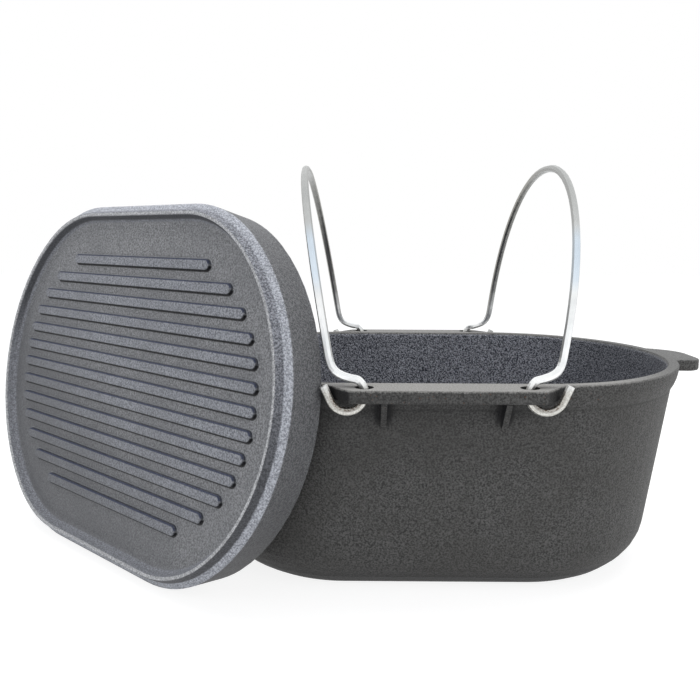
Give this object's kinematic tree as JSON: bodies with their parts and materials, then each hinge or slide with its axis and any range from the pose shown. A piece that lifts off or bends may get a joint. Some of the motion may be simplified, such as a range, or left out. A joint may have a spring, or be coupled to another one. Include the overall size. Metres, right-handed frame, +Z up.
{
  "type": "oval roaster with griddle lid",
  "caption": "Oval cast iron roasting pot with side ledges, wire bail handles hooked through them, and a ribbed griddle lid that lifts off and stands leaning on the pot.",
  "frame": {"origin": "centre of the pot's base, on the surface that the pot stands on", "axes": "+X along the pot's length towards its right grip, +Y across the pot away from the viewer, +Z up"},
  "size_m": [0.549, 0.3054, 0.2809],
  "materials": {
    "cast_iron_black": "oiled sand-cast iron, matt charcoal",
    "cast_iron_griddle": "oiled sand-cast iron, a little lighter and smoother",
    "zinc_plated_wire": "bright zinc-plated steel wire"
  },
  "bodies": {
    "pot": {"pot_body": "cast_iron_black"},
    "lid": {"griddle_lid": "cast_iron_griddle"},
    "left_bail": {"bail_handle_left": "zinc_plated_wire"},
    "right_bail": {"bail_handle_right": "zinc_plated_wire"}
  },
  "joints": [
    {"name": "left_bail_swing", "type": "hinge", "parent": "pot", "child": "left_bail", "pos_m": [-0.0583, 0, 0.1392], "axis": [0, -1, 0], "range_deg": [-33, 10]},
    {"name": "right_bail_swing", "type": "hinge", "parent": "pot", "child": "right_bail", "pos_m": [0.0583, 0, 0.1392], "axis": [0, 1, 0], "range_deg": [-33, 42]},
    {"name": "lid_lift_off", "type": "slide", "parent": "pot", "child": "lid", "axis": [-0.311, -0.3376, 0.8884], "range_m": [0, 0.25]}
  ]
}
